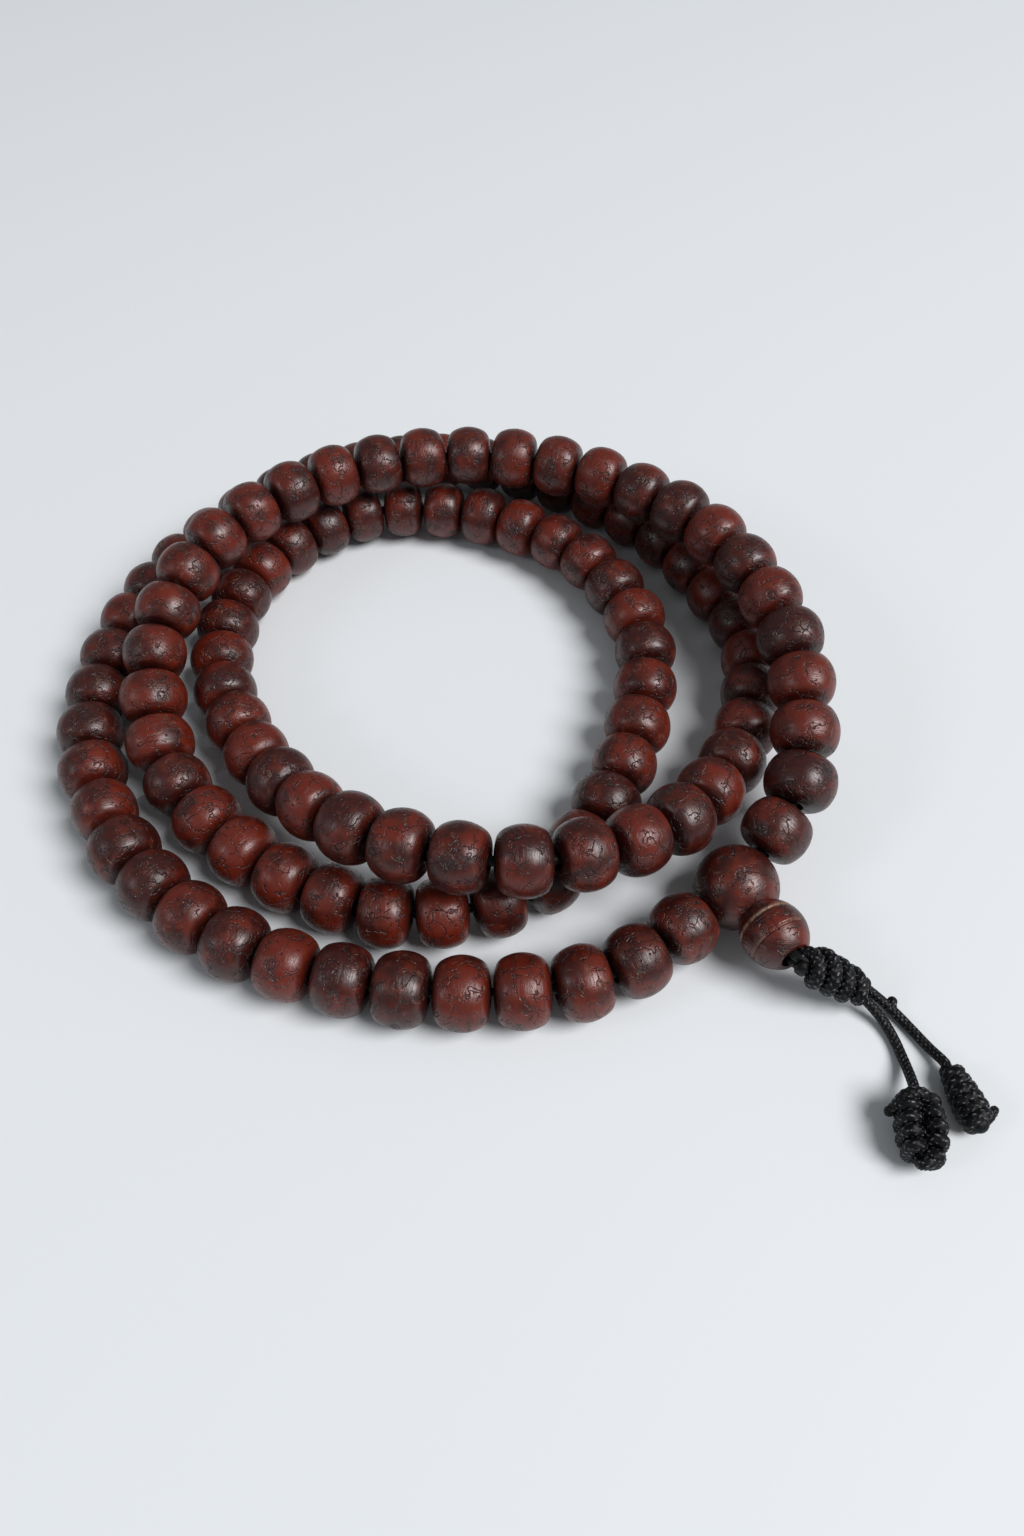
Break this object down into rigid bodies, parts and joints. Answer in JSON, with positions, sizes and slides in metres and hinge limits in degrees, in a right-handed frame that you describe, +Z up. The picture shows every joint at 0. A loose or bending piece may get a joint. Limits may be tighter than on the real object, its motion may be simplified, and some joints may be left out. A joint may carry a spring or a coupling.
{
  "type": "mala prayer beads",
  "caption": "Strand of drilled dark seeds for counting prayers, closed by a larger guru bead with a tower bead, a wrapped cord knot and two knotted cord tails, laid in three loose turns.",
  "frame": {"origin": "middle of the laid turns, on the table surface", "axes": "+Z up from the table, -Y towards the side where the guru bead and its tails lie, +X to the right"},
  "size_m": [0.1352, 0.1435, 0.0228],
  "materials": {
    "seed": "old polished seed, satin to glossy, reddish brown",
    "guru_seed": "old polished seed, satin, dark plum brown",
    "tower_seed": "old polished seed, satin, with pale natural grooves",
    "cord": "black braided waxed nylon, slightly glossy"
  },
  "bodies": {
    "root": {"strand_cord": "cord", "guru_bead": "guru_seed", "seeds_first_turn": "seed", "seeds_second_turn": "seed", "seeds_third_turn": "seed"},
    "pendant": {"neck_cords": "cord", "wrapped_knot": "cord"},
    "tower": {"tower_bead": "tower_seed"},
    "left_tail": {"left_tail": "cord", "left_end_knot": "cord"},
    "right_tail": {"right_tail": "cord", "right_end_knot": "cord", "cord_stub": "cord"},
    "seed_002": {"seed_002": "seed"},
    "seed_003": {"seed_003": "seed"},
    "seed_004": {"seed_004": "seed"},
    "seed_005": {"seed_005": "seed"},
    "seed_006": {"seed_006": "seed"},
    "seed_007": {"seed_007": "seed"},
    "seed_008": {"seed_008": "seed"},
    "seed_009": {"seed_009": "seed"},
    "seed_010": {"seed_010": "seed"},
    "seed_011": {"seed_011": "seed"},
    "seed_012": {"seed_012": "seed"},
    "seed_013": {"seed_013": "seed"},
    "seed_014": {"seed_014": "seed"},
    "seed_015": {"seed_015": "seed"},
    "seed_016": {"seed_016": "seed"},
    "seed_017": {"seed_017": "seed"},
    "seed_018": {"seed_018": "seed"},
    "seed_019": {"seed_019": "seed"},
    "seed_020": {"seed_020": "seed"},
    "seed_021": {"seed_021": "seed"},
    "seed_022": {"seed_022": "seed"},
    "seed_023": {"seed_023": "seed"},
    "seed_024": {"seed_024": "seed"},
    "seed_025": {"seed_025": "seed"},
    "seed_026": {"seed_026": "seed"},
    "seed_027": {"seed_027": "seed"},
    "seed_060": {"seed_060": "seed"},
    "seed_061": {"seed_061": "seed"},
    "seed_062": {"seed_062": "seed"},
    "seed_063": {"seed_063": "seed"},
    "seed_064": {"seed_064": "seed"},
    "seed_065": {"seed_065": "seed"},
    "seed_066": {"seed_066": "seed"},
    "seed_067": {"seed_067": "seed"},
    "seed_068": {"seed_068": "seed"},
    "seed_069": {"seed_069": "seed"},
    "seed_070": {"seed_070": "seed"},
    "seed_098": {"seed_098": "seed"},
    "seed_099": {"seed_099": "seed"},
    "seed_100": {"seed_100": "seed"},
    "seed_101": {"seed_101": "seed"},
    "seed_102": {"seed_102": "seed"},
    "seed_103": {"seed_103": "seed"},
    "seed_104": {"seed_104": "seed"},
    "seed_105": {"seed_105": "seed"},
    "seed_106": {"seed_106": "seed"},
    "seed_107": {"seed_107": "seed"}
  },
  "joints": [
    {"name": "pendant_swing", "type": "hinge", "parent": "root", "child": "pendant", "pos_m": [0.044, -0.0415, 0.0062], "axis": [0, 0, 1], "range_deg": [-12, 12]},
    {"name": "left_tail_swing", "type": "hinge", "parent": "pendant", "child": "left_tail", "pos_m": [0.05875, -0.05656, 0.00405], "axis": [0, 0, 1], "range_deg": [-20, 0]},
    {"name": "right_tail_swing", "type": "hinge", "parent": "pendant", "child": "right_tail", "pos_m": [0.05875, -0.05656, 0.00405], "axis": [0, 0, 1], "range_deg": [0, 20]},
    {"name": "tower_spin", "type": "hinge", "parent": "pendant", "child": "tower", "pos_m": [0.04835, -0.05042, 0.00742], "axis": [0.4351, -0.8921, 0.1219], "continuous": true},
    {"name": "seed_002_spin", "type": "hinge", "parent": "root", "child": "seed_002", "pos_m": [0.05459, -0.02706, 0.0119], "axis": [0.348, 0.8996, 0.264], "continuous": true},
    {"name": "seed_003_spin", "type": "hinge", "parent": "root", "child": "seed_003", "pos_m": [0.05623, -0.01903, 0.01383], "axis": [0.0797, 0.9767, 0.1993], "continuous": true},
    {"name": "seed_004_spin", "type": "hinge", "parent": "root", "child": "seed_004", "pos_m": [0.05677, -0.01076, 0.01546], "axis": [0.0069, 0.9854, 0.1702], "continuous": true},
    {"name": "seed_005_spin", "type": "hinge", "parent": "root", "child": "seed_005", "pos_m": [0.05615, -0.00242, 0.01662], "axis": [-0.1529, 0.9829, 0.1026], "continuous": true},
    {"name": "seed_006_spin", "type": "hinge", "parent": "root", "child": "seed_006", "pos_m": [0.0542, 0.00577, 0.01718], "axis": [-0.308, 0.9509, 0.0319], "continuous": true},
    {"name": "seed_007_spin", "type": "hinge", "parent": "root", "child": "seed_007", "pos_m": [0.05123, 0.01367, 0.01733], "axis": [-0.4121, 0.9111, 0.0045], "continuous": true},
    {"name": "seed_008_spin", "type": "hinge", "parent": "root", "child": "seed_008", "pos_m": [0.04713, 0.02103, 0.01724], "axis": [-0.5573, 0.8299, -0.0252], "continuous": true},
    {"name": "seed_009_spin", "type": "hinge", "parent": "root", "child": "seed_009", "pos_m": [0.04187, 0.02761, 0.0169], "axis": [-0.6866, 0.725, -0.0542], "continuous": true},
    {"name": "seed_010_spin", "type": "hinge", "parent": "root", "child": "seed_010", "pos_m": [0.03579, 0.03343, 0.01643], "axis": [-0.7658, 0.641, -0.0517], "continuous": true},
    {"name": "seed_011_spin", "type": "hinge", "parent": "root", "child": "seed_011", "pos_m": [0.02892, 0.03827, 0.01605], "axis": [-0.862, 0.5055, -0.0373], "continuous": true},
    {"name": "seed_012_spin", "type": "hinge", "parent": "root", "child": "seed_012", "pos_m": [0.02133, 0.04191, 0.0158], "axis": [-0.9342, 0.3561, -0.0219], "continuous": true},
    {"name": "seed_013_spin", "type": "hinge", "parent": "root", "child": "seed_013", "pos_m": [0.01332, 0.04448, 0.01566], "axis": [-0.9748, 0.2229, -0.0074], "continuous": true},
    {"name": "seed_014_spin", "type": "hinge", "parent": "root", "child": "seed_014", "pos_m": [0.00498, 0.04549, 0.01569], "axis": [-0.9998, 0.0164, 0.0147], "continuous": true},
    {"name": "seed_015_spin", "type": "hinge", "parent": "root", "child": "seed_015", "pos_m": [-0.00339, 0.04475, 0.01591], "axis": [-0.981, -0.1907, 0.0363], "continuous": true},
    {"name": "seed_016_spin", "type": "hinge", "parent": "root", "child": "seed_016", "pos_m": [-0.01154, 0.04277, 0.01621], "axis": [-0.9527, -0.3025, 0.031], "continuous": true},
    {"name": "seed_017_spin", "type": "hinge", "parent": "root", "child": "seed_017", "pos_m": [-0.01927, 0.03957, 0.01641], "axis": [-0.888, -0.4595, 0.0171], "continuous": true},
    {"name": "seed_018_spin", "type": "hinge", "parent": "root", "child": "seed_018", "pos_m": [-0.02633, 0.03513, 0.0165], "axis": [-0.7979, -0.6028, 0.0028], "continuous": true},
    {"name": "seed_019_spin", "type": "hinge", "parent": "root", "child": "seed_019", "pos_m": [-0.03278, 0.02985, 0.01648], "axis": [-0.7381, -0.6744, -0.0187], "continuous": true},
    {"name": "seed_020_spin", "type": "hinge", "parent": "root", "child": "seed_020", "pos_m": [-0.03823, 0.02363, 0.01604], "axis": [-0.5683, -0.8182, -0.0872], "continuous": true},
    {"name": "seed_021_spin", "type": "hinge", "parent": "root", "child": "seed_021", "pos_m": [-0.04213, 0.0164, 0.01505], "axis": [-0.3684, -0.9174, -0.1507], "continuous": true},
    {"name": "seed_022_spin", "type": "hinge", "parent": "root", "child": "seed_022", "pos_m": [-0.04464, 0.00866, 0.01367], "axis": [-0.233, -0.9554, -0.1813], "continuous": true},
    {"name": "seed_023_spin", "type": "hinge", "parent": "root", "child": "seed_023", "pos_m": [-0.04572, 0.00067, 0.01203], "axis": [-0.0274, -0.9765, -0.2136], "continuous": true},
    {"name": "seed_024_spin", "type": "hinge", "parent": "root", "child": "seed_024", "pos_m": [-0.04509, -0.0073, 0.01018], "axis": [0.1789, -0.955, -0.2365], "continuous": true},
    {"name": "seed_025_spin", "type": "hinge", "parent": "root", "child": "seed_025", "pos_m": [-0.04313, -0.01502, 0.00832], "axis": [0.3395, -0.9191, -0.2], "continuous": true},
    {"name": "seed_026_spin", "type": "hinge", "parent": "root", "child": "seed_026", "pos_m": [-0.03946, -0.02217, 0.00697], "axis": [0.5558, -0.8212, -0.1291], "continuous": true},
    {"name": "seed_027_spin", "type": "hinge", "parent": "root", "child": "seed_027", "pos_m": [-0.03419, -0.02831, 0.00622], "axis": [0.7056, -0.7056, -0.0661], "continuous": true},
    {"name": "seed_060_spin", "type": "hinge", "parent": "root", "child": "seed_060", "pos_m": [-0.01731, -0.03028, 0.01239], "axis": [0.68, -0.6898, 0.2487], "continuous": true},
    {"name": "seed_061_spin", "type": "hinge", "parent": "root", "child": "seed_061", "pos_m": [-0.01094, -0.03556, 0.01428], "axis": [0.8137, -0.548, 0.1941], "continuous": true},
    {"name": "seed_062_spin", "type": "hinge", "parent": "root", "child": "seed_062", "pos_m": [-0.00347, -0.03957, 0.01568], "axis": [0.915, -0.3816, 0.1308], "continuous": true},
    {"name": "seed_063_spin", "type": "hinge", "parent": "root", "child": "seed_063", "pos_m": [0.00475, -0.04227, 0.01658], "axis": [0.9713, -0.2285, 0.0661], "continuous": true},
    {"name": "seed_064_spin", "type": "hinge", "parent": "root", "child": "seed_064", "pos_m": [0.01341, -0.04306, 0.0166], "axis": [0.9968, 0.0497, -0.062], "continuous": true},
    {"name": "seed_065_spin", "type": "hinge", "parent": "root", "child": "seed_065", "pos_m": [0.02181, -0.04144, 0.01553], "axis": [0.9292, 0.321, -0.1833], "continuous": true},
    {"name": "seed_066_spin", "type": "hinge", "parent": "root", "child": "seed_066", "pos_m": [0.02949, -0.03809, 0.01377], "axis": [0.8529, 0.4749, -0.217], "continuous": true},
    {"name": "seed_067_spin", "type": "hinge", "parent": "root", "child": "seed_067", "pos_m": [0.03619, -0.03326, 0.01184], "axis": [0.7162, 0.657, -0.2353], "continuous": true},
    {"name": "seed_068_spin", "type": "hinge", "parent": "root", "child": "seed_068", "pos_m": [0.04152, -0.02708, 0.00982], "axis": [0.5439, 0.8037, -0.2413], "continuous": true},
    {"name": "seed_069_spin", "type": "hinge", "parent": "root", "child": "seed_069", "pos_m": [0.04588, -0.02022, 0.00792], "axis": [0.4706, 0.8603, -0.196], "continuous": true},
    {"name": "seed_070_spin", "type": "hinge", "parent": "root", "child": "seed_070", "pos_m": [0.04924, -0.01278, 0.00663], "axis": [0.3394, 0.9335, -0.116], "continuous": true},
    {"name": "seed_098_spin", "type": "hinge", "parent": "root", "child": "seed_098", "pos_m": [-0.04061, -0.03914, 0.0055], "axis": [0.7209, -0.693, 0], "continuous": true},
    {"name": "seed_099_spin", "type": "hinge", "parent": "root", "child": "seed_099", "pos_m": [-0.03428, -0.04448, 0.0055], "axis": [0.7949, -0.6067, 0], "continuous": true},
    {"name": "seed_100_spin", "type": "hinge", "parent": "root", "child": "seed_100", "pos_m": [-0.02733, -0.04899, 0.0055], "axis": [0.8783, -0.4781, 0], "continuous": true},
    {"name": "seed_101_spin", "type": "hinge", "parent": "root", "child": "seed_101", "pos_m": [-0.01977, -0.05238, 0.0055], "axis": [0.9411, -0.3381, 0], "continuous": true},
    {"name": "seed_102_spin", "type": "hinge", "parent": "root", "child": "seed_102", "pos_m": [-0.0118, -0.05474, 0.0055], "axis": [0.9682, -0.2502, 0], "continuous": true},
    {"name": "seed_103_spin", "type": "hinge", "parent": "root", "child": "seed_103", "pos_m": [-0.00365, -0.05637, 0.0055], "axis": [0.99, -0.141, 0], "continuous": true},
    {"name": "seed_104_spin", "type": "hinge", "parent": "root", "child": "seed_104", "pos_m": [0.00464, -0.05708, 0.0055], "axis": [0.9996, -0.0298, 0], "continuous": true},
    {"name": "seed_105_spin", "type": "hinge", "parent": "root", "child": "seed_105", "pos_m": [0.01297, -0.05693, 0.0055], "axis": [0.9993, 0.0377, 0], "continuous": true},
    {"name": "seed_106_spin", "type": "hinge", "parent": "root", "child": "seed_106", "pos_m": [0.02121, -0.05581, 0.00554], "axis": [0.9663, 0.257, 0.0108], "continuous": true},
    {"name": "seed_107_spin", "type": "hinge", "parent": "root", "child": "seed_107", "pos_m": [0.02893, -0.05267, 0.00568], "axis": [0.8711, 0.4907, 0.0225], "continuous": true}
  ]
}
